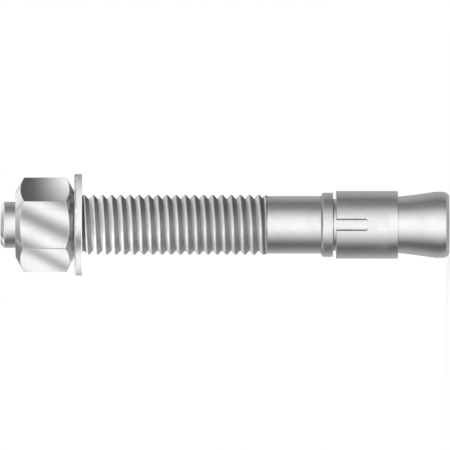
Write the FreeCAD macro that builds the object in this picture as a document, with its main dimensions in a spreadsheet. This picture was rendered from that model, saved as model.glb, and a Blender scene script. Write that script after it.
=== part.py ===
# Wedge anchor: threaded stud with a wedge cone, expansion clip, flat washer and hex nut.
# Frame: +Z runs along the axis from the cone to the nut, z = 0 is the flat foot of the cone,
# and -Y is the side that shows the clip's slot and one flat of the nut.
import FreeCAD, Part
import Sketcher
import math
import os

# Driving sizes in millimetres and degrees: alias, value, what it measures
SIZES = [
    ("neck_diameter", 11.04, "waist that the clip sits on"),
    ("cone_height", 1.52, "land of the cone, out of the neck"),
    ("cone_angle", 8.3, "slope of the cone to the axis"),
    ("cone_straight_length", 2.52, "straight cone above the land, before its hollow blend"),
    ("land_length", 1.44, "straight land on the cone"),
    ("land_round_length", 0.80, "rounding below the land, along the axis"),
    ("land_round_width", 0.18, "rounding below the land, across"),
    ("foot_chamfer_length", 0.62, "chamfer at the foot, along the axis"),
    ("foot_chamfer_width", 0.66, "chamfer at the foot, across"),
    ("collar_height", 1.295, "collar that holds the clip back, out of the neck"),
    ("collar_length", 2.48, "collar with its bevel"),
    ("collar_chamfer", 0.36, "bevel from the collar to the shank, along the axis"),
    ("shank_length", 11.77, "collar to the first thread"),
    ("crest_height", 0.25, "thread crests out of the plain shank"),
    ("thread_diameter", 12.70, "over the crests, half an inch"),
    ("thread_pitch", 1.9538, "13 threads to the inch"),
    ("thread_crest_width", 0.29, "flat on each crest"),
    ("thread_flank_angle", 45.0, "flank to a plane across the axis"),
    ("thread_length", 51.40, "shank to the lead chamfer"),
    ("thread_ring_angle", 45.0, "ring that ends the thread, slope down to the shank"),
    ("thread_lead_angle", 45.0, "lead chamfer at the top of the thread"),
    ("first_crest_height", 1.50, "first crest on the +X side, above the shank"),
    ("groove_flank_overrun", 0.05, "flanks of the groove's profile, drawn past the crests"),
    ("groove_overrun", 0.50, "outer edge of the groove's profile, past the crests"),
    ("dog_relief", 0.62, "pilot that takes the hammer blows, inside the thread's root"),
    ("dog_length", 2.70, "straight length of the pilot"),
    ("dog_chamfer_length", 0.72, "chamfer of the pilot, along the axis"),
    ("dog_chamfer_width", 0.92, "chamfer of the pilot, across"),
    ("clip_length", 13.10, "height of the clip"),
    ("clip_wall", 1.10, "sheet that the clip is rolled from"),
    ("clip_neck_gap", 0.565, "loose fit of the clip round the neck"),
    ("clip_seat_clearance", 0.08, "clip edge to the cone at rest"),
    ("clip_end_play", 0.68, "clip to the collar"),
    ("slot_length", 6.65, "slot from the collar end"),
    ("slot_width", 2.57, "slot across"),
    ("slot_corner_radius", 0.50, "closed corners of the slot"),
    ("slot_spacing", 120.0, "angle from one slot to the next"),
    ("seam_gap", 0.80, "gap where the rolled band meets"),
    ("seam_turn", 240.0, "seam, turned from the first slot"),
    ("washer_diameter", 21.56, "flat washer"),
    ("washer_hole_clearance", 0.395, "hole of the washer to the thread crests"),
    ("washer_thickness", 1.63, "washer"),
    ("bearing_gap", 0.02, "washer to nut"),
    ("nut_flats", 17.46, "across the flats, 11/16 inch"),
    ("nut_thickness", 12.50, "nut"),
    ("nut_chamfer_angle", 30.0, "end chamfers of the nut"),
    ("nut_thread_clearance", 0.10, "nut to the thread crests"),
    ("nut_countersink", 0.45, "countersink at both ends of the hole"),
    ("nut_face_width", 0.10, "flat ring from the countersink to the end chamfer"),
    ("nut_setback", 3.17, "pilot standing out of the nut"),
]

XY = "XY_Plane"
XZ = "XZ_Plane"
ORIGIN = (-1, 1)  # the sketch origin as a geometry and point index
ACROSS, ALONG = -1, -2  # the sketch's two axes; the second lies on Z
SLOTS = 2
NUT_SIDES = 6
LOWER_TURNS = 2  # whole turns of the groove below the first crest
UPPER_TURNS = 1  # whole turns of the groove past the thread's length
QUARTER_TURN, HALF_TURN, FULL_TURN = 90.0, 180.0, 360.0

# Lengths and radii that several pieces share
NECK = "(<neck_diameter> / 2)"
LAND = f"({NECK} + <cone_height>)"
FOOT_CHAMFER = f"({LAND} - <land_round_width>)"
FOOT = f"({FOOT_CHAMFER} - <foot_chamfer_width>)"
COLLAR = f"({NECK} + <collar_height>)"
CREST = "(<thread_diameter> / 2)"
SHANK = f"({CREST} - <crest_height>)"
CORE = f"({CREST} - <thread_pitch>)"
THREAD_DEPTH = "((<thread_pitch> - <thread_crest_width>) / 2 / tan(<thread_flank_angle>))"
DOG = f"({CREST} - {THREAD_DEPTH} - <dog_relief>)"
DOG_FACE = f"({DOG} - <dog_chamfer_width>)"
CLIP_BORE = f"({NECK} + <clip_neck_gap>)"
CLIP_RADIUS = f"({CLIP_BORE} + <clip_wall>)"
CLIP_SEAT = f"({CLIP_BORE} - <clip_seat_clearance>)"
CLIP_ROOM = "(<clip_length> + <clip_end_play>)"
LEAD_LENGTH = f"(({CREST} - {DOG}) * tan(<thread_lead_angle>))"
STUD_ABOVE_SHANK = f"(<thread_length> + {LEAD_LENGTH} + <dog_length> + <dog_chamfer_length>)"
THREAD_FOOT = "(StudCore.Constraints.thread_foot / 1 mm)"
CLIP_FOOT = "(StudCore.Constraints.clip_foot / 1 mm)"
NUT_FOOT = f"({THREAD_FOOT} + {STUD_ABOVE_SHANK} - <nut_setback> - <nut_thickness>)"
WASHER_FOOT = f"({NUT_FOOT} - <bearing_gap> - <washer_thickness>)"

doc = FreeCAD.newDocument("WedgeAnchor")


def make_sheet():
    """The spreadsheet of driving sizes, one aliased cell each."""
    sheet = doc.addObject("Spreadsheet::Sheet", "Sizes")
    for row, (alias, value, note) in enumerate(SIZES, start=1):
        sheet.set(f"A{row}", note)
        sheet.set(f"B{row}", str(value))
        sheet.setAlias(f"B{row}", alias)
    doc.recompute()


def spelled(expression):
    """An expression as the document takes it: a name in <> is a cell of the sheet."""
    return expression.replace("<", "Sizes.").replace(">", "")


def worth(sketch, expression):
    """What an expression comes to, as a plain number."""
    found = sketch.evalExpression(spelled(expression))
    return float(getattr(found, "Value", found))


def bind(target, path, expression):
    """Bind a property to an expression."""
    target.setExpression(path, spelled(expression))


def new_body(label):
    body = doc.addObject("PartDesign::Body", label)
    body.Label = label
    return body


def new_sketch(body, name, role):
    sketch = body.newObject("Sketcher::SketchObject", name)
    plane = next(part for part in body.Origin.OriginFeatures if part.Role == role)
    sketch.AttachmentSupport = (plane, [""])
    sketch.MapMode = "FlatFace"
    return sketch


def name_size(sketch, index, name, expression):
    """Name one dimension of a sketch and bind it to the sheet."""
    sketch.renameConstraint(index, name)
    bind(sketch, f"Constraints.{name}", expression)


def place(sketch, kind, first, second, name, expression):
    """One dimension between two sketch points."""
    value = worth(sketch, expression)
    index = sketch.addConstraint(Sketcher.Constraint(kind, *first, *second, value))
    name_size(sketch, index, name, expression)


def closed_outline(sketch, corners, label="p"):
    """A closed outline of straight lines. Each corner is two expressions, and 0 puts it on an axis."""
    first = sketch.GeometryCount
    spots = []
    for across, up in corners:
        spots.append(FreeCAD.Vector(worth(sketch, across), worth(sketch, up), 0))
    count = len(spots)
    for i in range(count):
        sketch.addGeometry(Part.LineSegment(spots[i], spots[(i + 1) % count]))
    for i in range(count):
        follower = first + (i + 1) % count
        sketch.addConstraint(Sketcher.Constraint("Coincident", first + i, 2, follower, 1))
    for i, (across, up) in enumerate(corners):
        corner = (first + i, 1)
        for kind, text, axis in (("DistanceX", across, ALONG), ("DistanceY", up, ACROSS)):
            if text == "0":
                sketch.addConstraint(Sketcher.Constraint("PointOnObject", *corner, axis))
            else:
                place(sketch, kind, ORIGIN, corner, f"{label}{i}{kind[-1]}", text)


def feature(body, kind, name, sketch, **settings):
    """A PartDesign feature made from a sketch, about the sketch's vertical axis where it turns."""
    made = body.newObject(f"PartDesign::{kind}", name)
    made.Profile = sketch
    if kind in ("Revolution", "Groove", "SubtractiveHelix"):
        made.ReferenceAxis = (sketch, ["V_Axis"])
    if kind in ("Revolution", "Groove"):
        made.Angle = FULL_TURN
    for key, value in settings.items():
        setattr(made, key, value)
    doc.recompute()
    return made


def draw_stud_core(sketch):
    """Half section of the stud from its foot to the end of the shank, with a flank that ends the thread."""
    foot = worth(sketch, FOOT)
    chamfer = worth(sketch, FOOT_CHAMFER)
    land = worth(sketch, LAND)
    neck = worth(sketch, NECK)
    collar = worth(sketch, COLLAR)
    shank = worth(sketch, SHANK)
    crest = worth(sketch, CREST)
    core = worth(sketch, CORE)
    seat_radius = worth(sketch, CLIP_SEAT)
    cone = math.radians(worth(sketch, "<cone_angle>"))
    ring = math.radians(worth(sketch, "<thread_ring_angle>"))
    flank = math.radians(worth(sketch, "<thread_flank_angle>"))
    straight = worth(sketch, "<cone_straight_length>")

    # First positions of the corners; the constraints below hold them
    chamfer_top = worth(sketch, "<foot_chamfer_length>")
    land_foot = chamfer_top + worth(sketch, "<land_round_length>")
    land_top = land_foot + worth(sketch, "<land_length>")
    slope_top = land_top + straight
    slope_radius = land - straight * math.tan(cone)
    blend = (slope_radius - neck) / (1 - math.cos(cone))
    neck_foot = slope_top + blend * math.sin(cone)
    seat = neck_foot - math.sqrt(blend**2 - (blend - seat_radius + neck) ** 2)
    collar_foot = seat + worth(sketch, CLIP_ROOM)
    collar_top = collar_foot + worth(sketch, "<collar_length>")
    bevel_foot = collar_top - worth(sketch, "<collar_chamfer>")
    thread_foot = collar_top + worth(sketch, "<shank_length>")
    ring_foot = thread_foot - (crest - shank) * math.tan(ring)
    core_top = thread_foot + (crest - core) * math.tan(flank)
    rise = land_foot - chamfer_top
    run = land - chamfer
    round_radius = (rise**2 + run**2) / (2 * run)
    round_angle = math.asin(rise / round_radius)

    def point(x, y):
        return FreeCAD.Vector(x, y, 0)

    def line(start, end):
        return sketch.addGeometry(Part.LineSegment(point(*start), point(*end)))

    def arc(centre, radius, start, end):
        circle = Part.Circle(point(*centre), FreeCAD.Vector(0, 0, 1), radius)
        return sketch.addGeometry(Part.ArcOfCircle(circle, start, end))

    foot_face = line((0, 0), (foot, 0))
    foot_chamfer = line((foot, 0), (chamfer, chamfer_top))
    land_round = arc((land - round_radius, land_foot), round_radius, -round_angle, 0)
    land_side = line((land, land_foot), (land, land_top))
    cone_side = line((land, land_top), (slope_radius, slope_top))
    cone_blend = arc((neck + blend, neck_foot), blend, math.pi, math.pi + cone)
    neck_side = line((neck, neck_foot), (neck, collar_foot))
    collar_under = line((neck, collar_foot), (collar, collar_foot))
    collar_side = line((collar, collar_foot), (collar, bevel_foot))
    collar_bevel = line((collar, bevel_foot), (shank, collar_top))
    shank_side = line((shank, collar_top), (shank, ring_foot))
    shank_end = line((shank, ring_foot), (crest, thread_foot))
    end_flank = line((crest, thread_foot), (core, core_top))
    hidden_top = line((core, core_top), (0, core_top))
    core_axis = line((0, core_top), (0, 0))

    for first, second in (
        (foot_face, foot_chamfer),
        (foot_chamfer, land_round),
        (land_side, cone_side),
        (neck_side, collar_under),
        (collar_under, collar_side),
        (collar_side, collar_bevel),
        (collar_bevel, shank_side),
        (shank_side, shank_end),
        (shank_end, end_flank),
        (end_flank, hidden_top),
        (hidden_top, core_axis),
        (core_axis, foot_face),
    ):
        sketch.addConstraint(Sketcher.Constraint("Coincident", first, 2, second, 1))
    for first, end, second, start in (
        (land_round, 2, land_side, 1),
        (cone_side, 2, cone_blend, 2),
        (cone_blend, 1, neck_side, 1),
    ):
        sketch.addConstraint(Sketcher.Constraint("Tangent", first, end, second, start))
    sketch.addConstraint(Sketcher.Constraint("Coincident", foot_face, 1, *ORIGIN))
    sketch.addConstraint(Sketcher.Constraint("PointOnObject", core_axis, 1, ALONG))
    for level in (foot_face, collar_under, hidden_top):
        sketch.addConstraint(Sketcher.Constraint("Horizontal", level))
    for upright in (land_side, neck_side, collar_side, shank_side):
        sketch.addConstraint(Sketcher.Constraint("Vertical", upright))

    # The lower edge of the clip touches the blend here, less its clearance
    clip_seat = sketch.addGeometry(Part.Point(point(seat_radius, seat)), True)
    sketch.addConstraint(Sketcher.Constraint("PointOnObject", clip_seat, 1, cone_blend))

    for name, corner, expression in (
        ("foot_radius", (foot_face, 2), FOOT),
        ("chamfer_radius", (foot_chamfer, 2), FOOT_CHAMFER),
        ("land_radius", (land_side, 1), LAND),
        ("neck_radius", (neck_side, 1), NECK),
        ("seat_radius", (clip_seat, 1), CLIP_SEAT),
        ("collar_radius", (collar_side, 1), COLLAR),
        ("shank_radius", (shank_side, 1), SHANK),
        ("crest_radius", (shank_end, 2), CREST),
        ("core_radius", (end_flank, 2), CORE),
    ):
        place(sketch, "DistanceX", ORIGIN, corner, name, expression)
    for name, low, high, expression in (
        ("chamfer_rise", (foot_face, 2), (foot_chamfer, 2), "<foot_chamfer_length>"),
        ("round_rise", (land_round, 1), (land_round, 2), "<land_round_length>"),
        ("land_rise", (land_side, 1), (land_side, 2), "<land_length>"),
        ("cone_rise", (cone_side, 1), (cone_side, 2), "<cone_straight_length>"),
        ("clip_room", (clip_seat, 1), (collar_side, 1), CLIP_ROOM),
        ("bevel_rise", (collar_side, 2), (collar_bevel, 2), "<collar_chamfer>"),
        ("collar_rise", (collar_side, 1), (collar_bevel, 2), "<collar_length>"),
        ("shank_rise", (shank_side, 1), (shank_end, 2), "<shank_length>"),
    ):
        place(sketch, "DistanceY", low, high, name, expression)
    for name, edge, expression in (
        ("cone_slope", cone_side, f"{QUARTER_TURN} + <cone_angle>"),
        ("ring_slope", shank_end, "<thread_ring_angle>"),
        ("flank_slope", end_flank, f"{HALF_TURN} - <thread_flank_angle>"),
    ):
        angle = math.radians(worth(sketch, expression))
        index = sketch.addConstraint(Sketcher.Constraint("Angle", edge, angle))
        name_size(sketch, index, name, expression)

    # Measured heights that the other pieces are placed by
    for name, corner, height in (
        ("clip_foot", (clip_seat, 1), seat),
        ("thread_foot", (shank_end, 2), thread_foot),
    ):
        index = sketch.addConstraint(Sketcher.Constraint("DistanceY", *ORIGIN, *corner, height))
        sketch.setDriving(index, False)
        sketch.renameConstraint(index, name)


def make_stud():
    """The stud in one piece: the thread is cut in a blank, and the shank is then added below it."""
    body = new_body("stud")
    core = new_sketch(body, "StudCore", XZ)
    draw_stud_core(core)
    doc.recompute()

    blank = new_sketch(body, "ThreadBlank", XZ)
    bind(blank, "AttachmentOffset.Base.y", THREAD_FOOT)
    closed_outline(
        blank,
        [
            ("0", "0"),
            (CREST, "0"),
            (CREST, "<thread_length>"),
            (DOG, f"<thread_length> + {LEAD_LENGTH}"),
            (DOG, f"<thread_length> + {LEAD_LENGTH} + <dog_length>"),
            (DOG_FACE, STUD_ABOVE_SHANK),
            ("0", STUD_ABOVE_SHANK),
        ],
    )
    feature(body, "Revolution", "ThreadedEnd", blank)

    # The groove starts below the blank, half a pitch off the crests, and runs out past the pilot
    groove = new_sketch(body, "ThreadGroove", XZ)
    start = f"{THREAD_FOOT} + <first_crest_height> - {LOWER_TURNS} * <thread_pitch>"
    bind(groove, "AttachmentOffset.Base.y", start)
    middle = "<thread_pitch> / 2"
    flank_end = f"({CREST} + <groove_flank_overrun>)"
    outside = f"({CREST} + <groove_overrun>)"
    half_width = f"({THREAD_DEPTH} + <groove_flank_overrun>) * tan(<thread_flank_angle>)"
    closed_outline(
        groove,
        [
            (f"{CREST} - {THREAD_DEPTH}", middle),
            (flank_end, f"{middle} - {half_width}"),
            (outside, f"{middle} - {half_width}"),
            (outside, f"{middle} + {half_width}"),
            (flank_end, f"{middle} + {half_width}"),
        ],
    )
    thread = feature(body, "SubtractiveHelix", "Thread", groove, Mode="pitch-height-angle")
    bind(thread, "Pitch", "<thread_pitch>")
    bind(thread, "Height", f"<thread_length> + {LOWER_TURNS + UPPER_TURNS} * <thread_pitch>")
    doc.recompute()

    feature(body, "Revolution", "ShankAndCone", core)
    return body


def make_clip():
    """The expansion clip: a rolled band with slots open to the collar and a seam from end to end."""
    body = new_body("expansion_clip")
    bind(body, "Placement.Base.z", CLIP_FOOT)
    band = new_sketch(body, "ClipBand", XZ)
    closed_outline(
        band,
        [
            (CLIP_BORE, "0"),
            (CLIP_RADIUS, "0"),
            (CLIP_RADIUS, "<clip_length>"),
            (CLIP_BORE, "<clip_length>"),
        ],
    )
    feature(body, "Revolution", "Band", band)

    slot = new_sketch(body, "ClipSlot", XZ)
    draw_slot(slot)
    doc.recompute()
    cut = feature(body, "Pocket", "Slot", slot, Type="ThroughAll", Reversed=True)
    spread = body.newObject("PartDesign::PolarPattern", "Slots")
    spread.Originals = [cut]
    spread.Axis = (slot, ["V_Axis"])
    spread.Occurrences = SLOTS
    bind(spread, "Angle", "<slot_spacing>")
    body.Tip = spread
    doc.recompute()

    seam = new_sketch(body, "ClipSeam", XY)
    bind(seam, "AttachmentOffset.Rotation.Angle", f"<seam_turn> - {QUARTER_TURN}")
    closed_outline(
        seam,
        [
            (NECK, "<seam_gap> / 2"),
            (f"{CLIP_RADIUS} + <clip_wall>", "<seam_gap> / 2"),
            (f"{CLIP_RADIUS} + <clip_wall>", "-<seam_gap> / 2"),
            (NECK, "-<seam_gap> / 2"),
        ],
    )
    feature(body, "Pocket", "Seam", seam, Type="ThroughAll", Reversed=True)
    return body


def draw_slot(sketch):
    """The slot's outline, with round corners at its closed end, reaching past the band's edge."""
    closed = "<clip_length> - <slot_length>"
    past = "<clip_length> + <clip_wall>"
    half = worth(sketch, "<slot_width> / 2")
    corner = worth(sketch, "<slot_corner_radius>")
    foot = worth(sketch, closed)
    top = worth(sketch, past)

    def point(x, y):
        return FreeCAD.Vector(x, y, 0)

    def line(start, end):
        return sketch.addGeometry(Part.LineSegment(start, end))

    def quarter_arc(x, start):
        circle = Part.Circle(point(x, foot + corner), FreeCAD.Vector(0, 0, 1), corner)
        return sketch.addGeometry(Part.ArcOfCircle(circle, start, start + math.pi / 2))

    closed_end = line(point(corner - half, foot), point(half - corner, foot))
    right_corner = quarter_arc(half - corner, -math.pi / 2)
    right_side = line(point(half, foot + corner), point(half, top))
    open_end = line(point(half, top), point(-half, top))
    left_side = line(point(-half, top), point(-half, foot + corner))
    left_corner = quarter_arc(corner - half, math.pi)
    for first, end, second, start in (
        (closed_end, 2, right_corner, 1),
        (right_corner, 2, right_side, 1),
        (left_side, 2, left_corner, 1),
        (left_corner, 2, closed_end, 1),
    ):
        sketch.addConstraint(Sketcher.Constraint("Tangent", first, end, second, start))
    for first, second in ((right_side, open_end), (open_end, left_side)):
        sketch.addConstraint(Sketcher.Constraint("Coincident", first, 2, second, 1))
    sketch.addConstraint(Sketcher.Constraint("Horizontal", closed_end))
    for upright in (left_side, right_side):
        sketch.addConstraint(Sketcher.Constraint("Vertical", upright))
    sketch.addConstraint(Sketcher.Constraint("Symmetric", open_end, 1, open_end, 2, ALONG))
    sketch.addConstraint(Sketcher.Constraint("Equal", left_corner, right_corner))
    index = sketch.addConstraint(Sketcher.Constraint("Radius", right_corner, corner))
    name_size(sketch, index, "corner_radius", "<slot_corner_radius>")
    place(sketch, "DistanceX", (open_end, 2), (open_end, 1), "width", "<slot_width>")
    place(sketch, "DistanceY", ORIGIN, (closed_end, 1), "closed_height", closed)
    place(sketch, "DistanceY", ORIGIN, (open_end, 1), "open_height", past)


def make_washer():
    """The flat washer, just under the nut."""
    body = new_body("flat_washer")
    bind(body, "Placement.Base.z", WASHER_FOOT)
    section = new_sketch(body, "WasherSection", XZ)
    hole = f"{CREST} + <washer_hole_clearance>"
    rim = "<washer_diameter> / 2"
    closed_outline(
        section,
        [
            (hole, "0"),
            (rim, "0"),
            (rim, "<washer_thickness>"),
            (hole, "<washer_thickness>"),
        ],
    )
    feature(body, "Revolution", "Disc", section)
    return body


def make_nut():
    """The hex nut with corners on the X axis, chamfered at both ends, its hole clear of the thread."""
    wall = f"({CREST} + <nut_thread_clearance>)"
    flare = f"({wall} + <nut_countersink>)"
    face = f"({flare} + <nut_face_width>)"
    body = new_body("hex_nut")
    bind(body, "Placement.Base.z", NUT_FOOT)
    prism = body.newObject("PartDesign::AdditivePrism", "Hexagon")
    prism.Polygon = NUT_SIDES
    bind(prism, "Circumradius", f"<nut_flats> / 2 / cos({HALF_TURN} / {NUT_SIDES})")
    bind(prism, "Height", "<nut_thickness>")
    doc.recompute()

    # Each end is turned off at the chamfer angle, from the round face to well past the corners
    chamfers = new_sketch(body, "NutChamfers", XZ)
    beyond = "<nut_flats>"
    drop = f"(({beyond} - {face}) * tan(<nut_chamfer_angle>))"
    closed_outline(chamfers, [(face, "0"), (beyond, "0"), (beyond, drop)], "foot")
    closed_outline(
        chamfers,
        [
            (face, "<nut_thickness>"),
            (beyond, "<nut_thickness>"),
            (beyond, f"<nut_thickness> - {drop}"),
        ],
        "head",
    )
    doc.recompute()
    feature(body, "Groove", "Chamfers", chamfers)

    hole = new_sketch(body, "NutHole", XZ)
    closed_outline(
        hole,
        [
            ("0", "0"),
            (flare, "0"),
            (wall, "<nut_countersink>"),
            (wall, "<nut_thickness> - <nut_countersink>"),
            (flare, "<nut_thickness>"),
            ("0", "<nut_thickness>"),
        ],
    )
    doc.recompute()
    feature(body, "Groove", "Hole", hole)
    return body


def check(parts):
    """Stop before anything is written if an object failed or a shape isn't one valid solid."""
    for thing in doc.Objects:
        if "Invalid" in thing.State or "Error" in thing.State:
            raise RuntimeError(f"{thing.Label} failed: {thing.State}")
        if thing.TypeId == "Sketcher::SketchObject" and not thing.FullyConstrained:
            raise RuntimeError(f"{thing.Label} isn't fully constrained")
    for body in parts:
        shape = body.Shape
        if shape.isNull() or not shape.isValid() or len(shape.Solids) != 1:
            raise RuntimeError(f"{body.Label} isn't one valid solid")


make_sheet()
parts = [make_stud(), make_clip(), make_washer(), make_nut()]
doc.recompute()
check(parts)
os.makedirs("parts", exist_ok=True)
for body in parts:
    body.Shape.exportStep(f"parts/{body.Label}.step")
    box = body.Shape.optimalBoundingBox(False)
    print(
        f"{body.Label}: {body.Shape.Volume:.2f} mm3, z {box.ZMin:.3f} to {box.ZMax:.3f},"
        f" across {box.XLength:.3f} by {box.YLength:.3f}"
    )
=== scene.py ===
"""Wedge anchor with its clip, washer and nut: pieces, finishes, stage and camera.

The anchor stands on its cone foot on the floor, with its axis on the world Z axis.
Outlines are given in millimetres as (radius, height) and turned about that axis.
"""

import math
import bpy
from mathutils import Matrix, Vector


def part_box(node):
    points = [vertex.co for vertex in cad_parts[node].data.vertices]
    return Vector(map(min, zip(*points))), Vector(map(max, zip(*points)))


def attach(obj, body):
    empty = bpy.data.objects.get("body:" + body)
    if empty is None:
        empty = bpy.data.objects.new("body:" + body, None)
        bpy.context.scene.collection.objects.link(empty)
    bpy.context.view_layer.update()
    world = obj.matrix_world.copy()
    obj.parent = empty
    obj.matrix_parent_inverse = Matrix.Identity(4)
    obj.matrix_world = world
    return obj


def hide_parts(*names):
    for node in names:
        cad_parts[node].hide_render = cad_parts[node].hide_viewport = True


bl_info = {
    "name": "Wedge anchor",
    "version": (1, 0, 0),
    "blender": (4, 5, 0),
    "location": "3D View > Sidebar > Wedge anchor",
    "description": "Turns, threads and finishes the pieces of a wedge anchor",
    "category": "Object",
}

import bmesh
import bpy
from mathutils import Matrix

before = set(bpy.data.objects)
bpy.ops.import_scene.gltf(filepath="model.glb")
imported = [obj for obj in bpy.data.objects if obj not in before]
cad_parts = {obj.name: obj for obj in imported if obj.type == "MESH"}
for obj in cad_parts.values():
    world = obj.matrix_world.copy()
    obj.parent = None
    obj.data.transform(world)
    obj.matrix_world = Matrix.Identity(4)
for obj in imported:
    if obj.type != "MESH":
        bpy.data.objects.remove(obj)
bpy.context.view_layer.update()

MM = 0.001
CAP = "NGON"
OPEN = "NOTHING"

# Heights and radii that the frame's solids give, in millimetres
STUD_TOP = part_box("stud")[1].z / MM
CLIP_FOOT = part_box("expansion_clip")[0].z / MM
CLIP_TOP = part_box("expansion_clip")[1].z / MM
CLIP_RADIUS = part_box("expansion_clip")[1].x / MM
WASHER_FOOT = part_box("flat_washer")[0].z / MM
WASHER_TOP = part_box("flat_washer")[1].z / MM
WASHER_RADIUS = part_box("flat_washer")[1].x / MM
NUT_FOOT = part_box("hex_nut")[0].z / MM
NUT_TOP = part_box("hex_nut")[1].z / MM
NUT_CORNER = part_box("hex_nut")[1].x / MM

# The stud's own sizes, in millimetres
FOOT = 6.20
FOOT_CHAMFER = 6.86
FOOT_CHAMFER_TOP = 0.62
LAND = 7.04
LAND_FOOT = 1.42
LAND_TOP = 2.86
CONE_STRAIGHT_TOP = 5.38
CONE_SLOPE = math.radians(8.3)
NECK = 5.52
NECK_FOOT = 21.264
COLLAR = 6.815
COLLAR_FOOT = 24.723
COLLAR_BEVEL_FOOT = 26.843
COLLAR_TOP = 27.203
SHANK = 6.10
RING_FOOT = 38.723
THREAD_FOOT = 38.973
CREST = 6.35
ROOT = 5.518
PITCH = 1.9538
FIRST_CREST = 40.473
LEAD_FOOT = 90.373
PILOT = 4.898
PILOT_FOOT = 91.825
PILOT_CHAMFER_FOOT = 94.525
PILOT_FACE = 3.978

# Half height of the ring where the thread runs out above the shank, in millimetres
RING_HALF = 0.05
# The crests stay this far under that ring, so that no two faces lie in one place
CREST_DROP = 0.004
# Steps in the curve where the cone runs into the neck
HOLLOW_STEPS = 9

# The other pieces' sizes, in millimetres, with the turns of the clip's cuts in degrees
WASHER_HOLE = 6.745
NUT_COUNTERSINK = 6.90
NUT_FACE = 7.00
NUT_CHAMFER = math.radians(30)
CLIP_BORE = 6.085
SLOT_FOOT = 17.393
SLOT_TURNS = (0, 120)
SEAM_TURN = 240


def length(name, description, default):
    """A size property in metres, from a default in millimetres."""
    return bpy.props.FloatProperty(
        name=name,
        description=description,
        default=default * MM,
        min=0,
        unit="LENGTH",
        subtype="DISTANCE",
    )


def share(name, description, default):
    """A property between 0 and 1."""
    return bpy.props.FloatProperty(
        name=name, description=description, default=default, min=0, max=1, subtype="FACTOR"
    )


def paint(name, description, default):
    """A colour property."""
    return bpy.props.FloatVectorProperty(
        name=name, description=description, default=default, subtype="COLOR"
    )


def strength(name, description, default):
    """The strength of a light, from 0 up."""
    return bpy.props.FloatProperty(name=name, description=description, default=default, min=0)


class AnchorSizes(bpy.types.PropertyGroup):
    """Roundings and details that the pieces get beyond the frame's solids."""

    steps: bpy.props.IntProperty(
        name="Steps", description="Steps round a turned piece", default=160, min=32, max=256
    )
    thread_steps: bpy.props.IntProperty(
        name="Thread steps",
        description="Steps in one turn of the thread",
        default=96,
        min=24,
        max=160,
    )
    edge: length("Edge rounding", "Rounding on turned edges of the stud", 0.12)
    collar_edge: length("Collar rounding", "Rounding under the collar's rim", 0.10)
    crest_flat: length("Crest flat", "Width of the thread's crest", 0.26)
    crest_round: length("Crest rounding", "Drop of the crest's rolled shoulders", 0.035)
    root_round: length("Root rounding", "Half width of the thread's rounded root", 0.10)
    thread_play: length("Thread play", "Radial room between the nut's thread and the stud's", 0.10)
    nut_edge: length("Nut edge", "Rounding on the nut's upright edges", 0.14)
    nut_rim: length("Nut rim", "Rounding where the nut's chamfers meet its sides", 0.09)
    washer_roll: length("Washer roll", "Rounding on the washer's punched side", 0.28)
    washer_edge: length("Washer edge", "Rounding on the washer's other edges", 0.08)
    clip_edge: length("Clip rounding", "Rounding on the clip's rims", 0.13)
    slot_edge: length("Slot rounding", "Rounding along the clip's slots and seam", 0.12)
    slot_width: length("Slot width", "Width of the slots in the clip", 2.57)
    slot_corner: length("Slot corner", "Radius in the slots' closed corners", 0.50)
    seam_width: length("Seam width", "Gap where the clip's ends meet", 0.80)


class AnchorFinish(bpy.types.PropertyGroup):
    """Colours and gloss of the zinc-plated steel, and the colour of the shade painted into it."""

    zinc: paint("Zinc", "Colour of the bright zinc", (0.80, 0.80, 0.80))
    dull_zinc: paint("Dull zinc", "Colour of the zinc in its darker patches", (0.66, 0.665, 0.67))
    # The colour of the painted shade on the thread, in the stud's corners and along the clip's rim
    painted_shade: paint("Painted shade colour", "Colour of the steel deep in the grooves", (0.30, 0.30, 0.305))
    shank_gloss: share("Shank roughness", "Roughness of the stud's turned sides", 0.17)
    thread_gloss: share("Thread roughness", "Roughness of the rolled thread", 0.46)
    clip_gloss: share("Clip roughness", "Roughness of the clip", 0.13)
    washer_gloss: share("Washer roughness", "Roughness of the washer", 0.19)
    nut_gloss: share("Nut roughness", "Roughness of the nut", 0.12)


class AnchorStage(bpy.types.PropertyGroup):
    """Floor, light and camera."""

    lens: bpy.props.FloatProperty(
        name="Lens",
        description="Focal length of the camera in millimetres",
        default=1000,
        min=50,
        max=1700,
    )
    distance: length("Distance", "Distance from the anchor's axis to the camera", 2654.6)
    tent_radius: length("Tent radius", "Radius of the light tent round the anchor", 250)
    floor_size: length("Floor size", "Side of the square floor", 6000)
    tent_light: strength("Tent light", "Strength of the brightest part of the tent", 1.25)
    high_light: strength("High light", "Strength of the tent above the anchor", 5.0)


# Modelling by hand


def settings(context):
    """The property groups of the scene: sizes, finish and stage."""
    scene = context.scene
    return scene.anchor_sizes, scene.anchor_finish, scene.anchor_stage


def start_fresh():
    """Leaves edit mode and deselects everything."""
    if bpy.context.object and bpy.context.object.mode != "OBJECT":
        bpy.ops.object.mode_set(mode="OBJECT")
    bpy.ops.object.select_all(action="DESELECT")


def pick(piece):
    """Makes one piece the only selected and the active one."""
    start_fresh()
    piece.select_set(True)
    bpy.context.view_layer.objects.active = piece


def enter(piece):
    """Opens a piece in edit mode with all of it selected."""
    pick(piece)
    bpy.ops.object.mode_set(mode="EDIT")
    bpy.ops.mesh.select_mode(type="VERT")
    bpy.ops.mesh.select_all(action="SELECT")


def leave():
    """Closes edit mode."""
    bpy.ops.object.mode_set(mode="OBJECT")


def close_up(piece):
    """Merges doubles and turns the faces outwards."""
    enter(piece)
    bpy.ops.mesh.remove_doubles(threshold=1e-7)
    bpy.ops.mesh.select_all(action="SELECT")
    bpy.ops.mesh.normals_make_consistent(inside=False)
    leave()


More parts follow.
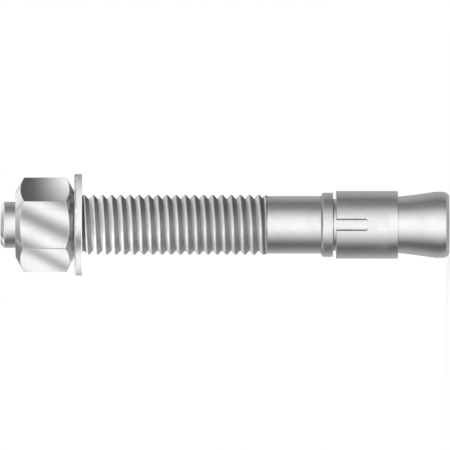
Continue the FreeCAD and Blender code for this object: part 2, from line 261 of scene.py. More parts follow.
def select_edges(piece, wanted):
    """Selects the edges in edit mode whose two ends pass the test, and says how many."""
    bpy.ops.mesh.select_all(action="DESELECT")
    bpy.ops.mesh.select_mode(type="EDGE")
    mesh = bmesh.from_edit_mesh(piece.data)
    count = 0
    for edge in mesh.edges:
        if wanted(edge):
            edge.select_set(True)
            count += 1
    bmesh.update_edit_mesh(piece.data)
    return count


def turned(name, outline, steps, hollow=False):
    """A turned piece: rings extruded and scaled along its (radius, height, rounding) outline."""
    start_fresh()
    first, *others = outline
    bpy.ops.mesh.primitive_circle_add(
        vertices=steps,
        radius=first[0] * MM,
        location=(0, 0, first[1] * MM),
        fill_type=OPEN if hollow else CAP,
    )
    piece = bpy.context.object
    piece.name = name
    bpy.ops.object.transform_apply(location=True)
    enter(piece)
    at = first
    for corner in others + ([first] if hollow else []):
        bpy.ops.mesh.extrude_region_move(
            TRANSFORM_OT_translate={"value": (0, 0, (corner[1] - at[1]) * MM)}
        )
        if corner[0] != at[0]:
            factor = corner[0] / at[0]
            bpy.ops.transform.resize(value=(factor, factor, 1), center_override=(0, 0, 0))
        at = corner
    leave()
    close_up(piece)
    for corner in outline:
        if len(corner) > 2:
            round_ring(piece, *corner)
    return piece


def round_ring(piece, radius, height, rounding, segments=3):
    """Bevels the ring of edges at one radius and height."""
    enter(piece)

    def on_ring(edge):
        return all(
            abs(vertex.co.z / MM - height) < 1e-3
            and abs(math.hypot(vertex.co.x, vertex.co.y) / MM - radius) < 1e-3
            for vertex in edge.verts
        )

    if not select_edges(piece, on_ring):
        raise RuntimeError(f"{piece.name} has no ring at radius {radius} and height {height}")
    bpy.ops.mesh.bevel(offset=rounding * MM, segments=segments, affect="EDGES")
    leave()


def threaded_rod(name, sizes, low, high, room=0.0):
    """A closed rod with a right-hand thread and flat ends; room is added to its radius."""
    flat = sizes.crest_flat / MM / 2
    shoulder = sizes.crest_round / MM
    root = sizes.root_round / MM
    crest = CREST + room - CREST_DROP
    groove = ROOT + room
    half = PITCH / 2
    slope = (crest - shoulder - groove - root) / (half - flat - 2 * shoulder - root)
    rise = [
        (crest, 0.0),
        (crest, flat),
        (crest - shoulder * 0.3, flat + shoulder),
        (crest - shoulder, flat + 2 * shoulder),
        (groove + root * slope * 0.45, half - root),
        (groove + root * 0.08, half - root * 0.4),
        (groove, half),
    ]
    profile = rise + [(radius, PITCH - height) for radius, height in reversed(rise[:-1])]
    turns = math.ceil((high - low) / PITCH) + 3
    start = FIRST_CREST + (math.floor((low - FIRST_CREST) / PITCH) - 1) * PITCH
    start_fresh()
    radius, height = profile[0]
    bpy.ops.mesh.primitive_plane_add(size=MM, location=(radius * MM, 0, (start + height) * MM))
    rod = bpy.context.object
    rod.name = name
    bpy.ops.object.transform_apply(location=True)
    enter(rod)
    bpy.ops.mesh.merge(type="CENTER")
    for (radius, height), (next_radius, next_height) in zip(profile, profile[1:]):
        step = ((next_radius - radius) * MM, 0, (next_height - height) * MM)
        bpy.ops.mesh.extrude_vertices_move(TRANSFORM_OT_translate={"value": step})
    bpy.ops.mesh.select_all(action="SELECT")
    bpy.ops.mesh.screw(steps=sizes.thread_steps, turns=1, center=(0, 0, 0), axis=(0, 0, -1))
    bpy.ops.mesh.select_all(action="SELECT")
    bpy.ops.mesh.remove_doubles(threshold=1e-6)
    leave()
    repeat = rod.modifiers.new("Turns", "ARRAY")
    repeat.count = turns
    repeat.use_relative_offset = False
    repeat.use_constant_offset = True
    repeat.constant_offset_displace = (0, 0, PITCH * MM)
    repeat.use_merge_vertices = True
    repeat.merge_threshold = 1e-6
    bpy.ops.object.modifier_apply(modifier=repeat.name)
    enter(rod)
    for height, keep_above in ((low, True), (high, False)):
        bpy.ops.mesh.select_all(action="SELECT")
        bpy.ops.mesh.bisect(
            plane_co=(0, 0, height * MM),
            plane_no=(0, 0, 1),
            threshold=1e-8,
            use_fill=True,
            clear_inner=keep_above,
            clear_outer=not keep_above,
        )
    leave()
    close_up(rod)
    return rod


def combine(piece, tool, operation):
    """Joins, cuts or crosses a piece with a tool solid, and removes the tool."""
    pick(piece)
    modifier = piece.modifiers.new("Cut", "BOOLEAN")
    modifier.operation = operation
    modifier.solver = "EXACT"
    modifier.object = tool
    bpy.ops.object.modifier_apply(modifier=modifier.name)
    tool_mesh = tool.data
    bpy.data.objects.remove(tool)
    bpy.data.meshes.remove(tool_mesh)
    if not piece.data.polygons:
        raise RuntimeError(f"{piece.name} lost its faces in {operation.lower()}")


def hand_over(piece, node, body, material, angle=32):
    """Smooths a finished piece, gives it its material and puts it in its node's place."""
    pick(piece)
    bpy.ops.object.shade_smooth_by_angle(angle=math.radians(angle))
    modifier = piece.modifiers.new("Shading", "WEIGHTED_NORMAL")
    modifier.keep_sharp = True
    bpy.ops.object.modifier_apply(modifier=modifier.name)
    piece.data.materials.clear()
    piece.data.materials.append(material)
    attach(piece, body)
    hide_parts(node)


# Shader maths


class Value:
    """A number socket that takes part in Python arithmetic."""

    def __init__(self, shader, socket):
        self.shader = shader
        self.socket = socket

    def math(self, operation, *others):
        sockets = dict(enumerate((self, *others)))
        return self.shader.add("ShaderNodeMath", {"operation": operation}, sockets)

    def __add__(self, other):
        return self.math("ADD", other)

    __radd__ = __add__

    def __sub__(self, other):
        return self.math("SUBTRACT", other)

    def __rsub__(self, other):
        return self.math("MULTIPLY_ADD", -1.0, other)

    def __mul__(self, other):
        return self.math("MULTIPLY", other)

    __rmul__ = __mul__

    def __truediv__(self, other):
        return self.math("DIVIDE", other)

    def __rtruediv__(self, other):
        return self.shader.add("ShaderNodeMath", {"operation": "DIVIDE"}, {0: other, 1: self})

    def __pow__(self, other):
        return self.math("POWER", other)

    def __abs__(self):
        return self.math("ABSOLUTE")

    def most(self, other):
        return self.math("MAXIMUM", other)

    def least(self, other):
        return self.math("MINIMUM", other)

    def step(self, low, high):
        """Rises smoothly from 0 at low to 1 at high, and falls where low is above high."""
        sockets = {"Value": self, "From Min": low, "From Max": high, "To Min": 0.0, "To Max": 1.0}
        if low > high:
            sockets.update({"From Min": high, "From Max": low, "To Min": 1.0, "To Max": 0.0})
        return self.shader.add(
            "ShaderNodeMapRange", {"interpolation_type": "SMOOTHSTEP", "clamp": True}, sockets
        )


class Shader:
    """Builds the nodes of a material or the world."""

    def __init__(self, owner):
        owner.use_nodes = True
        self.tree = owner.node_tree
        self.tree.nodes.clear()

    def add(self, kind, options=None, sockets=None, output=0):
        """Adds a node: its options are set first, then its sockets. Gives back one output."""
        node = self.tree.nodes.new(kind)
        for name, option in (options or {}).items():
            if name == "stops":
                self.set_stops(node.color_ramp.elements, option)
            elif name == "blend":
                node.color_ramp.interpolation = option
            else:
                setattr(node, name, option)
        for name, value in (sockets or {}).items():
            socket = node.inputs[name]
            if isinstance(value, Value):
                self.tree.links.new(value.socket, socket)
            else:
                socket.default_value = value
        return Value(self, node.outputs[output]) if len(node.outputs) else None

    def set_stops(self, elements, stops):
        """Gives a ramp its (place, brightness) stops."""
        while len(elements) < len(stops):
            elements.new(0.5)
        for element, (place, grey) in zip(elements, stops):
            element.position = place
            element.color = (grey, grey, grey, 1)

    def place(self):
        """The object coordinates as x, y and z in millimetres."""
        coordinates = self.add("ShaderNodeTexCoord", output="Object")
        split = "ShaderNodeSeparateXYZ"
        return tuple(
            self.add(split, None, {0: coordinates}, output=axis) * (1 / MM) for axis in "XYZ"
        )

    def reach(self):
        """The distance from the anchor's axis in millimetres."""
        x, y, _ = self.place()
        return (x * x + y * y) ** 0.5

    def noise(self, scale, detail=2.0, stretch=None):
        """Noise in object coordinates, with a scale per metre; stretch scales its axes."""
        coordinates = self.add("ShaderNodeTexCoord", output="Object")
        if stretch:
            coordinates = self.add("ShaderNodeMapping", None, {0: coordinates, "Scale": stretch})
        sockets = {"Vector": coordinates, "Scale": scale, "Detail": detail}
        return self.add("ShaderNodeTexNoise", None, sockets)

    def line_noise(self, along, spacing, detail=1.0):
        """Noise that changes along one value only, such as turned rings along the axis."""
        sockets = {"W": along / spacing, "Scale": 1.0, "Detail": detail}
        return self.add("ShaderNodeTexNoise", {"noise_dimensions": "1D"}, sockets)

    def mix(self, factor, first, second):
        """Mixes two colours."""
        sockets = {0: factor, 6: first, 7: second}
        return self.add("ShaderNodeMix", {"data_type": "RGBA"}, sockets, output=2)

    def bump(self, height, distance):
        """The normal that a height in shares of a distance gives."""
        sockets = {"Height": height, "Distance": distance, "Strength": 1.0}
        return self.add("ShaderNodeBump", None, sockets)

    def either(self, first, second, factor):
        """Mixes two shaders."""
        return self.add("ShaderNodeMixShader", None, {0: factor, 1: first, 2: second})

    def seen(self):
        """1 for camera, glossy and transmission rays, and 0 for the light that falls on things."""
        ways = ("Is Camera Ray", "Is Glossy Ray", "Is Transmission Ray")
        camera, glossy, through = (self.add("ShaderNodeLightPath", output=way) for way in ways)
        return camera.most(glossy).most(through)

    def emission(self, colour):
        return self.add("ShaderNodeEmission", None, {"Color": colour, "Strength": 1.0})

    def finish(self, surface, kind="ShaderNodeOutputMaterial"):
        self.add(kind, None, {"Surface": surface})


def colour(group_colour):
    """A property colour with full alpha."""
    return (*group_colour, 1.0)


def shader_for(name):
    """A new material and its shader builder."""
    material = bpy.data.materials.new(name)
    return material, Shader(material)


def zinc_surface(shader, finish, gloss, rings, painted_shade=None, patches=1.0, relief=0.0000015):
    """Bright zinc on steel: cloudy patches, fine grain, tool lines, and painted shade where a
    shade mask is given.
    """
    clouds = shader.noise(260.0, 3.0)
    specks = shader.noise(2600.0, 2.0)
    tone = (clouds - 0.5) * (0.9 * patches) + (specks - 0.5) * 0.35 + (rings - 0.5) * 0.30
    base = shader.mix(tone.step(-0.25, 0.55), colour(finish.zinc), colour(finish.dull_zinc))
    # Painted shade: the base colour is mixed towards the shade colour by the given mask
    if painted_shade is not None:
        base = shader.mix(painted_shade, base, colour(finish.painted_shade))
    roughness = gloss + (clouds - 0.5) * 0.08 + (specks - 0.5) * 0.06 + (rings - 0.5) * 0.06
    sockets = {
        "Base Color": base,
        "Metallic": 1.0,
        "Roughness": roughness,
        "Normal": shader.bump(rings * 0.6 + specks * 0.4, relief),
    }
    shader.finish(shader.add("ShaderNodeBsdfPrincipled", None, sockets))


def stud_material(finish):
    """Zinc with turned rings, and painted shade on the thread's lower flanks and roots, in the
    corners at the collar and the thread's foot, and on the collar's bevel, which is also rougher.
    """
    material, shader = shader_for("stud_zinc_plated")
    x, y, z = shader.place()
    radius = shader.reach()
    rings = shader.line_noise(z, 0.14)
    threaded = z.step(THREAD_FOOT - 0.3, THREAD_FOOT + 0.2) * z.step(PILOT_FOOT, PILOT_FOOT - 0.3)
    around = y.math("ARCTAN2", x) / math.tau
    phase = ((z - FIRST_CREST) / PITCH - around + 100.0).math("FRACT")
    # Painted shade on the thread's flanks that face down
    lower_flank_shade = threaded * phase.step(0.46, 0.51) * phase.step(0.995, 0.955)
    # Painted shade in the thread's roots
    root_shade = threaded * radius.step(ROOT + 0.14, ROOT - 0.02) * 0.12
    # Painted shade in the corners at the collar's top and foot and at the foot of the thread's
    # ring
    corners = (
        abs(z - COLLAR_TOP + 0.05).step(0.22, 0.08)
        + abs(z - COLLAR_FOOT + 0.05).step(0.25, 0.05) * radius.step(COLLAR - 0.3, COLLAR - 0.6)
        + abs(z - RING_FOOT + 0.02).step(0.15, 0.05)
    )
    # Painted shade on the collar's bevel, which is also given more roughness
    bevel = z.step(COLLAR_BEVEL_FOOT - 0.04, COLLAR_BEVEL_FOOT + 0.06)
    bevel = bevel * z.step(COLLAR_TOP + 0.10, COLLAR_TOP)
    # The painted shade of the flanks, roots, corners and bevel together
    painted_shade = (root_shade + corners * 0.55 + lower_flank_shade * 0.86 + bevel).least(1.0)
    duller = finish.thread_gloss - finish.shank_gloss
    gloss = finish.shank_gloss + threaded * duller + bevel * 0.25
    gloss = gloss - z.step(5.5, 2.5) * 0.07 - z.step(PILOT_FOOT - 0.5, PILOT_FOOT) * 0.06
    zinc_surface(shader, finish, gloss, rings, painted_shade)
    return material


def clip_material(finish):
    """Zinc on the rolled band, with faint lines from rolling round it, and painted shade along its
    upper rim.
    """
    material, shader = shader_for("clip_zinc_plated")
    _, _, z = shader.place()
    lines = (shader.line_noise(z, 0.22) - 0.5) * 0.5 + 0.5
    # Painted shade along the clip's upper rim
    rims = z.step(CLIP_TOP - 0.16, CLIP_TOP - 0.06) * 0.6
    zinc_surface(shader, finish, finish.clip_gloss, lines, rims, patches=0.7)
    return material


def washer_material(finish):
    """Zinc on the stamped washer, with fine scuffs on its faces."""
    material, shader = shader_for("washer_zinc_plated")
    scuffs = shader.noise(900.0, 3.0, (1.0, 1.0, 0.2))
    zinc_surface(shader, finish, finish.washer_gloss, scuffs, patches=0.5, relief=0.000001)
    return material


def nut_material(finish):
    """Bright zinc on the drawn hexagon, with fine lines along its flats."""
    material, shader = shader_for("nut_zinc_plated")
    lines = shader.noise(1500.0, 2.0, (1.0, 1.0, 0.05))
    zinc_surface(shader, finish, finish.nut_gloss, lines, patches=0.6)
    return material


# Pieces


class AnchorOperator(bpy.types.Operator):
    """Shared by the operators that make the pieces."""

    bl_options = {"REGISTER", "UNDO"}


class MakeStud(AnchorOperator):
    """Turn the stud with its cone, neck and collar, and roll the thread above its shank"""

    bl_idname = "wedge_anchor.make_stud"
    bl_label = "Make stud"

    def execute(self, context):
        sizes, finish, _ = settings(context)
        edge = sizes.edge / MM
        slope_radius = LAND - (CONE_STRAIGHT_TOP - LAND_TOP) * math.tan(CONE_SLOPE)
        blend = (slope_radius - NECK) / (1 - math.cos(CONE_SLOPE))
        hollow = []
        for part in range(1, HOLLOW_STEPS + 1):
            angle = CONE_SLOPE * (1 - part / HOLLOW_STEPS)
            radius = NECK + blend * (1 - math.cos(angle))
            hollow.append((radius, NECK_FOOT - blend * math.sin(angle)))
        outline = [
            (FOOT, 0.0, edge * 0.7),
            (FOOT_CHAMFER, FOOT_CHAMFER_TOP, edge),
            (LAND, LAND_FOOT, edge),
            (LAND, LAND_TOP, edge),
            (slope_radius, CONE_STRAIGHT_TOP),
            *hollow,
            (NECK, COLLAR_FOOT, edge),
            (COLLAR, COLLAR_FOOT, sizes.collar_edge / MM),
            (COLLAR, COLLAR_BEVEL_FOOT, edge * 0.6),
            (SHANK, COLLAR_TOP, edge * 0.6),
            (SHANK, RING_FOOT, edge * 0.6),
            (CREST, THREAD_FOOT - RING_HALF, RING_HALF * 0.8),
            (CREST, THREAD_FOOT + RING_HALF, RING_HALF * 0.8),
            (ROOT - 1.0, THREAD_FOOT + RING_HALF + CREST - ROOT + 1.0),
        ]
        stud = turned("stud", outline, sizes.steps)
        rod = threaded_rod("rod", sizes, THREAD_FOOT, STUD_TOP + 1)
        over = 0.4
        envelope = turned(
            "envelope",
            [
                (CREST + over, THREAD_FOOT - 1),
                (CREST + over, LEAD_FOOT - over),
                (PILOT, PILOT_FOOT, edge),
                (PILOT, PILOT_CHAMFER_FOOT, edge),
                (PILOT_FACE, STUD_TOP, edge),
            ],
            sizes.steps,
        )
        combine(rod, envelope, "INTERSECT")
        combine(stud, rod, "UNION")
        hand_over(stud, "stud", "stud", stud_material(finish))
        return {"FINISHED"}


class MakeClip(AnchorOperator):
    """Turn the clip's band, round its rims and cut its slots and its seam"""

    bl_idname = "wedge_anchor.make_clip"
    bl_label = "Make clip"

    def execute(self, context):
        sizes, finish, _ = settings(context)
        rim = sizes.clip_edge / MM
        outline = [
            (CLIP_BORE, CLIP_FOOT, rim * 0.5),
            (CLIP_RADIUS, CLIP_FOOT, rim),
            (CLIP_RADIUS, CLIP_TOP, rim),
            (CLIP_BORE, CLIP_TOP, rim * 0.5),
        ]
        clip = turned("expansion_clip", outline, sizes.steps, hollow=True)
        for turn in SLOT_TURNS:
            combine(clip, self.slot_tool(sizes, turn), "DIFFERENCE")
        combine(clip, self.seam_tool(sizes, SEAM_TURN), "DIFFERENCE")
        self.round_cuts(clip, sizes)
        hand_over(clip, "expansion_clip", "clip", clip_material(finish))
        return {"FINISHED"}

    def slot_tool(self, sizes, turn):
        """A block with round lower corners that cuts one slot from the clip's upper rim."""
        start_fresh()
        low = SLOT_FOOT * MM
        high = (CLIP_TOP + 2) * MM
        bpy.ops.mesh.primitive_cube_add(size=1, location=(0, -CLIP_RADIUS * MM, (low + high) / 2))
        tool = bpy.context.object
        tool.scale = (sizes.slot_width, 4 * MM, high - low)
        bpy.ops.object.transform_apply(location=True, scale=True)
        enter(tool)

        def lower_corner(edge):
            return all(abs(v.co.z - low) < 1e-6 for v in edge.verts) and (
                abs(edge.verts[0].co.x - edge.verts[1].co.x) < 1e-6
            )

        select_edges(tool, lower_corner)
        bpy.ops.mesh.bevel(offset=sizes.slot_corner, segments=6, affect="EDGES")
        leave()
        self.swing(tool, turn)
        return tool

    def seam_tool(self, sizes, turn):
        """A block that opens the clip from end to end."""
        start_fresh()
        middle = (CLIP_FOOT + CLIP_TOP) / 2 * MM
        bpy.ops.mesh.primitive_cube_add(size=1, location=(0, -CLIP_RADIUS * MM, middle))
        tool = bpy.context.object
        tool.scale = (sizes.seam_width, 4 * MM, (CLIP_TOP - CLIP_FOOT + 4) * MM)
        bpy.ops.object.transform_apply(location=True, scale=True)
        self.swing(tool, turn)
        return tool

    def swing(self, tool, turn):
        """Turns a tool about the axis, counter-clockwise seen from above."""
        pick(tool)
        tool.rotation_euler = (0, 0, math.radians(turn))
        bpy.ops.object.transform_apply(rotation=True)

    def round_cuts(self, clip, sizes):
        """Rounds the outer edges that the slots and the seam leave."""
        enter(clip)

        def outer_cut(edge):
            if len(edge.link_faces) != 2:
                return False
            on_outside = all(
                abs(math.hypot(v.co.x, v.co.y) / MM - CLIP_RADIUS) < 0.02
                and CLIP_FOOT + 0.2 < v.co.z / MM < CLIP_TOP - 0.2
                for v in edge.verts
            )
            return on_outside and edge.calc_face_angle(0) > math.radians(50)

        if not select_edges(clip, outer_cut):
            raise RuntimeError("the clip has no cut edges")
        bpy.ops.mesh.bevel(offset=sizes.slot_edge, segments=2, affect="EDGES", clamp_overlap=True)
        leave()


class MakeWasher(AnchorOperator):
    """Turn the flat washer with a rolled rim on its punched side"""

    bl_idname = "wedge_anchor.make_washer"
    bl_label = "Make washer"

    def execute(self, context):
        sizes, finish, _ = settings(context)
        roll = sizes.washer_roll / MM
        edge = sizes.washer_edge / MM
        outline = [
            (WASHER_HOLE, WASHER_FOOT, edge),
            (WASHER_RADIUS, WASHER_FOOT, edge),
            (WASHER_RADIUS, WASHER_TOP, roll),
            (WASHER_HOLE, WASHER_TOP, roll),
        ]
        washer = turned("flat_washer", outline, sizes.steps, hollow=True)
        hand_over(washer, "flat_washer", "washer", washer_material(finish))
        return {"FINISHED"}


class MakeNut(AnchorOperator):
    """Shape the hexagon nut, turn its chamfers and tap its thread"""

    bl_idname = "wedge_anchor.make_nut"
    bl_label = "Make nut"

    def execute(self, context):
        sizes, finish, _ = settings(context)
        start_fresh()
        bpy.ops.mesh.primitive_cylinder_add(
            vertices=6,
            radius=NUT_CORNER * MM,
            depth=(NUT_TOP - NUT_FOOT) * MM,
            location=(0, 0, (NUT_TOP + NUT_FOOT) / 2 * MM),
            rotation=(0, 0, math.radians(30)),
        )
        nut = bpy.context.object
        nut.name = "hex_nut"
        bpy.ops.object.transform_apply(location=True, rotation=True)
        enter(nut)

        def upright(edge):
            return abs(edge.verts[0].co.z - edge.verts[1].co.z) > MM

        select_edges(nut, upright)
        bpy.ops.mesh.bevel(offset=sizes.nut_edge, segments=3, affect="EDGES")
        leave()
        reach = NUT_CORNER + 1
        drop = (reach - NUT_FACE) * math.tan(NUT_CHAMFER)
        chamfers = turned(
            "chamfers",
            [
                (NUT_FACE, NUT_FOOT),
                (reach, NUT_FOOT + drop),
                (reach, NUT_TOP - drop),
                (NUT_FACE, NUT_TOP),
            ],
            sizes.steps,
        )
        combine(nut, chamfers, "INTERSECT")
        hole = threaded_rod("tap", sizes, NUT_FOOT - 1, NUT_TOP + 1, sizes.thread_play / MM)
        combine(nut, hole, "DIFFERENCE")
        for face, way in ((NUT_FOOT, -1), (NUT_TOP, 1)):
            depth = NUT_COUNTERSINK - ROOT
            sink = turned(
                "countersink",
                [
                    (ROOT, face - way * depth),
                    (NUT_COUNTERSINK, face),
                    (NUT_COUNTERSINK, face + way * 0.5),
                ],
                sizes.steps,
            )
            combine(nut, sink, "DIFFERENCE")
        self.round_rims(nut, sizes)
        hand_over(nut, "hex_nut", "nut", nut_material(finish))
        return {"FINISHED"}

    def round_rims(self, nut, sizes):
        """Rounds the curved edges where the chamfers meet the nut's sides and its end faces."""
        enter(nut)

        def rim(edge):
            outside = all(
                math.hypot(v.co.x, v.co.y) / MM > NUT_COUNTERSINK + 0.05 for v in edge.verts
            )
            upright = abs(edge.verts[0].co.z - edge.verts[1].co.z) > MM
            return outside and not upright and edge.calc_face_angle(0) > math.radians(16)

        if not select_edges(nut, rim):
            raise RuntimeError("the nut has no rims")
        bpy.ops.mesh.bevel(offset=sizes.nut_rim, segments=2, affect="EDGES", clamp_overlap=True)
        leave()


# Stage

# Brightness round the anchor, in stops of (degrees from the front towards the world's +X, level)
FRONT_LIGHT = [
    (-180, 0.38), (-150, 0.40), (-128, 0.33), (-112, 0.22), (-99, 0.155), (-87, 0.12),
    (-76, 0.15), (-67, 0.25), (-49, 0.51), (-32, 0.76), (-16, 0.96), (0, 1.0),
    (16, 0.96), (32, 0.78), (49, 0.52), (67, 0.26), (79, 0.21), (95, 0.175),
    (115, 0.29), (131, 0.35), (180, 0.38),
]
HIGH_LIGHT = [
    (-180, 0.09), (-168, 0.045), (-158, 0.05), (-145, 0.32), (-100, 0.36), (-75, 0.42),
    (-46, 0.60), (-25, 0.37), (0, 0.27), (60, 0.25), (100, 0.24), (140, 0.26),
    (165, 0.22), (180, 0.10),
]

# Heights and radii of the light cards, in millimetres
TENT_FOOT = -20
TENT_TOP = 420
FLOOR_CARD_HEIGHT = 0.1
FOOT_RING = 21
FOOT_RING_TOP = 12
NUT_RING = 22
NUT_RING_FOOT = 76.6
NUT_RING_TOP = 92.2
WASHER_CARD_RADIUS = 40
THREAD_CARD_HEIGHT = 77.70
NUT_CARD_HEIGHT = 77.75

# The middle of the picture beside the axis and above the floor, in millimetres
PICTURE_ACROSS = -0.045
PICTURE_HEIGHT = 47.637

# Levels of the tent's upper part
ABOVE_BRIGHTEST = 1.05
ROOF_LEVEL = 0.55

# The height from which the nut's streaks are measured, in millimetres
STREAK_MIDDLE = 85.86


class MakeStage(AnchorOperator):
    """Set the floor, the light tent, the lamp and the camera"""

    bl_idname = "wedge_anchor.make_stage"
    bl_label = "Make stage"

    def execute(self, context):
        stage = context.scene.anchor_stage
        self.add_camera(context, stage)
        self.add_floor(stage)
        self.add_tent(stage)
        self.add_floor_card(stage)
        self.add_foot_reflector(stage)
        self.add_nut_reflector()
        self.add_washer_cards(stage)
        self.add_lamp()
        self.light_world(context)
        context.scene.view_settings.view_transform = "Standard"
        return {"FINISHED"}

    def add_camera(self, context, stage):
        """A long lens square to the axis, turned so that the nut is on the left."""
        start_fresh()
        turned_axes = Matrix(((0, 1, 0), (0, 0, -1), (-1, 0, 0)))
        bpy.ops.object.camera_add(
            location=(PICTURE_ACROSS * MM, -stage.distance, PICTURE_HEIGHT * MM),
            rotation=turned_axes.to_euler(),
        )
        camera = context.object
        camera.name = "camera"
        camera.data.lens = stage.lens
        camera.data.sensor_width = 36
        camera.data.clip_start = 0.1
        camera.data.clip_end = 20
        context.scene.camera = camera

    def add_floor(self, stage):
        """A pale floor that shows the anchor's shadow and looks white."""
        start_fresh()
        bpy.ops.mesh.primitive_plane_add(size=stage.floor_size, location=(0, 0, 0))
        floor = bpy.context.object
        floor.name = "floor"
        material, shader = shader_for("floor_white")
        paint = shader.add("ShaderNodeBsdfDiffuse", None, {"Color": (0.9, 0.9, 0.9, 1)})
        glow = shader.emission((1.0, 1.0, 1.0, 1))
        shader.finish(shader.either(paint, glow, shader.seen() * 0.72))
        floor.data.materials.append(material)

    def light_card(self, name):
        """Names the new card, shows it only in reflections and gives back its shader."""
        card = bpy.context.object
        card.name = name
        bpy.ops.object.transform_apply(location=True)
        material, shader = shader_for(name + "_light")
        card.data.materials.append(material)
        card.visible_camera = False
        card.visible_diffuse = False
        card.visible_transmission = False
        card.visible_volume_scatter = False
        card.visible_shadow = False
        return shader

    def round_wall(self, name, radius, low, high, steps=96):
        """An upright round card between two heights, in millimetres."""
        start_fresh()
        bpy.ops.mesh.primitive_cylinder_add(
            vertices=steps,
            radius=radius * MM,
            depth=(high - low) * MM,
            location=(0, 0, (low + high) / 2 * MM),
            end_fill_type=OPEN,
        )
        return self.light_card(name)

    def flat_ring(self, name, inner, outer, height):
        """A flat round card between two radii, in millimetres."""
        start_fresh()
        bpy.ops.mesh.primitive_circle_add(
            vertices=96, radius=inner * MM, location=(0, 0, height * MM), fill_type=OPEN
        )
        card = bpy.context.object
        shader = self.light_card(name)
        enter(card)
        factor = outer / inner
        bpy.ops.mesh.extrude_region_move(TRANSFORM_OT_translate={"value": (0, 0, 0)})
        bpy.ops.transform.resize(value=(factor, factor, 1), center_override=(0, 0, 0))
        leave()
        return shader

    def light_round(self, shader, layout, near=1.0):
        """Brightness by the direction from the axis; near under 1 spreads it on a close card."""
        x, y, _ = shader.place()
        turn = x.math("ARCTAN2", y * -1.0) / math.tau / near + 0.5
        stops = [(angle / 360 + 0.5, level) for angle, level in layout]
        return shader.add("ShaderNodeValToRGB", {"stops": stops, "blend": "LINEAR"}, {0: turn})

    def add_tent(self, stage):
        """A round tent, brightest in front and dark at both sides, with a grey roof."""
        radius = stage.tent_radius / MM
        shader = self.round_wall("tent_wall", radius, TENT_FOOT, TENT_TOP, steps=128)
        level = self.light_round(shader, FRONT_LIGHT) * stage.tent_light
        above = (self.light_round(shader, HIGH_LIGHT) * stage.high_light).least(ABOVE_BRIGHTEST)
        _, _, z = shader.place()
        rise = z.step(125, 190)
        top = z.step(330, TENT_TOP)
        above = above * (1.0 - top) + top * ROOF_LEVEL
        shader.finish(shader.emission(level * (1.0 - rise) + above * rise))

        start_fresh()
        bpy.ops.mesh.primitive_circle_add(
            vertices=128, radius=stage.tent_radius, location=(0, 0, TENT_TOP * MM), fill_type=CAP
        )
        shader = self.light_card("tent_roof")
        x, y, _ = shader.place()
        tilt = (x.step(-160, 160) - 0.5) * y.step(90, 180)
        shader.finish(shader.emission(tilt * 0.70 + ROOF_LEVEL))

    def add_floor_card(self, stage):
        """A floor card, dark towards +X and bright towards -X, and like the tent by the foot."""
        radius = stage.tent_radius / MM
        shader = self.flat_ring("floor_card", 5.5, radius, FLOOR_CARD_HEIGHT)
        x, _, _ = shader.place()
        reach = shader.reach()
        near = 1.0 - (LAND / 2) / reach
        level = self.light_round(shader, FRONT_LIGHT, near) * stage.tent_light
        below = x.step(35, -80) * 0.95 + 0.03
        round_foot = (reach.step(110, 75) * reach.step(38, 55) + reach.step(22, 20)).least(1.0)
        under_foot = reach.step(8.2, 7.4)
        light = below * (1.0 - round_foot) + level * round_foot
        shader.finish(shader.emission(light * (1.0 - under_foot) + under_foot * 0.45))

    def add_foot_reflector(self, stage):
        """A low ring round the foot, for the tent's light that the floor card hides from it."""
        shader = self.round_wall("foot_reflector", FOOT_RING, FLOOR_CARD_HEIGHT, FOOT_RING_TOP)
        near = 1 - LAND / 2 / FOOT_RING
        light = self.light_round(shader, FRONT_LIGHT, near) * stage.tent_light
        shader.finish(shader.emission(light))

    def add_nut_reflector(self):
        """A striped ring round the nut and the washer, for the streaks that they mirror."""
        shader = self.round_wall("nut_reflector", NUT_RING, NUT_RING_FOOT, NUT_RING_TOP, steps=128)
        x, y, z = shader.place()
        turn = x.math("ARCTAN2", y * -1.0) * (180 / math.pi)
        arc = turn * (NUT_RING * math.pi / 180)
        height = z - STREAK_MIDDLE

        # The front flat mirrors what is straight ahead: slanting stripes 6.7 mm apart
        phase = (x - height * 0.47 - 0.1) * (math.tau / 6.7)
        front = phase.math("COSINE") * -0.42 + 0.84

        # The flat towards -X mirrors the ring at that side: narrower stripes with more slant
        lower_phase = ((arc + 37.78) * 1.148 - height * 0.65) * (math.tau / 7.8)
        lower = 1.22 - (lower_phase.math("COSINE") * 0.5 + 0.5) ** 2.0 * 0.72

        # The flat towards +X darkens upwards and inwards, and the back of the ring is pale
        outward = (turn.step(90.7, 107.3) * 0.6 + 0.4) * turn.step(121, 110)
        upper = z.step(91, 79.5) ** 1.5 * outward * 1.25 + 0.13
        upper = upper + turn.step(138, 170) * z.step(78, 92) * 0.60

        # The two sides meet in front, with dark bands that the nut's upright edges mirror
        side = turn.step(-1, 1)
        sides = lower * (1.0 - side) + upper * side
        ahead = abs(turn).step(90, 78)
        upper_edge = turn.step(26, 36) * turn.step(84, 68) * 0.85
        lower_edge = turn.step(-26, -36) * turn.step(-84, -68) * 0.45
        faces = (front * ahead + sides * (1.0 - ahead)) * (1.0 - upper_edge - lower_edge)

        # Below the nut: what the washer's rim mirrors, bright with one dark band
        rim_turn = turn / 1.245
        dip = abs(rim_turn + 24.7).step(23, 0) * 0.95
        rim = 1.24 - dip - rim_turn.step(35, 95) * 0.78 - rim_turn.step(-55, -110) * 0.72
        at_rim = z.step(80.3, 79.95)
        shader.finish(shader.emission(rim * at_rim + faces * (1.0 - at_rim)))

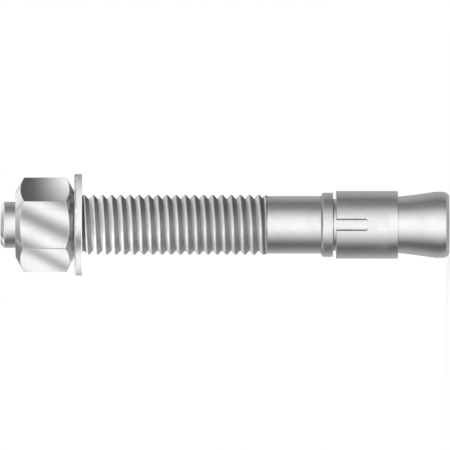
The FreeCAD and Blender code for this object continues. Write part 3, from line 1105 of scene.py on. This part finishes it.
    def add_washer_cards(self, stage):
        """Two flat rings level with the washer: the lower lights the thread, the upper the nut."""
        shader = self.flat_ring("thread_card", 6.8, WASHER_CARD_RADIUS, THREAD_CARD_HEIGHT)
        reach = shader.reach()
        level = self.light_round(shader, HIGH_LIGHT) * stage.high_light
        fade = (reach.step(32, 12) * 0.48 + 0.52) * (1.0 - reach.step(11, 7) * 0.25)
        shader.finish(shader.emission(level * fade))
        shader = self.flat_ring("nut_card", 11, WASHER_CARD_RADIUS, NUT_CARD_HEIGHT)
        light = self.light_round(shader, FRONT_LIGHT) * stage.tent_light
        shader.finish(shader.emission(light))

    def add_lamp(self):
        """A soft lamp that lays the shadow on the floor and isn't mirrored."""
        start_fresh()
        bpy.ops.object.light_add(
            type="SUN", location=(0.3, -0.5, 1.0), rotation=(math.radians(35), 0, math.radians(30))
        )
        lamp = bpy.context.object
        lamp.name = "soft_lamp"
        lamp.data.angle = math.radians(30)
        lamp.data.energy = 1.8
        lamp.visible_glossy = False

    def light_world(self, context):
        """White where it is seen or mirrored, softer where it lights the floor."""
        world = context.scene.world or bpy.data.worlds.new("world")
        context.scene.world = world
        shader = Shader(world)
        white = (1.0, 1.0, 1.0, 1.0)
        soft = shader.add("ShaderNodeBackground", None, {"Color": white, "Strength": 0.7})
        plain = shader.add("ShaderNodeBackground", None, {"Color": white, "Strength": 1.0})
        shader.finish(shader.either(soft, plain, shader.seen()), "ShaderNodeOutputWorld")


class AnchorPanel(bpy.types.Panel):
    """Lists the operators and their sizes in the sidebar"""

    bl_idname = "VIEW3D_PT_wedge_anchor"
    bl_label = "Wedge anchor"
    bl_space_type = "VIEW_3D"
    bl_region_type = "UI"
    bl_category = "Wedge anchor"

    def draw(self, context):
        for maker in MAKERS:
            self.layout.operator(maker.bl_idname)
        for group in settings(context):
            box = self.layout.box()
            for name in group.__annotations__:
                box.prop(group, name)


MAKERS = (MakeStage, MakeStud, MakeClip, MakeWasher, MakeNut)
GROUPS = (AnchorSizes, AnchorFinish, AnchorStage)


def register():
    for kind in (*GROUPS, *MAKERS, AnchorPanel):
        bpy.utils.register_class(kind)
    bpy.types.Scene.anchor_sizes = bpy.props.PointerProperty(type=AnchorSizes)
    bpy.types.Scene.anchor_finish = bpy.props.PointerProperty(type=AnchorFinish)
    bpy.types.Scene.anchor_stage = bpy.props.PointerProperty(type=AnchorStage)


def unregister():
    del bpy.types.Scene.anchor_stage
    del bpy.types.Scene.anchor_finish
    del bpy.types.Scene.anchor_sizes
    for kind in reversed((*GROUPS, *MAKERS, AnchorPanel)):
        bpy.utils.unregister_class(kind)


def main():
    register()
    bpy.ops.wedge_anchor.make_stage()
    bpy.ops.wedge_anchor.make_stud()
    bpy.ops.wedge_anchor.make_clip()
    bpy.ops.wedge_anchor.make_washer()
    bpy.ops.wedge_anchor.make_nut()
    start_fresh()


if __name__ == "__main__":
    main()
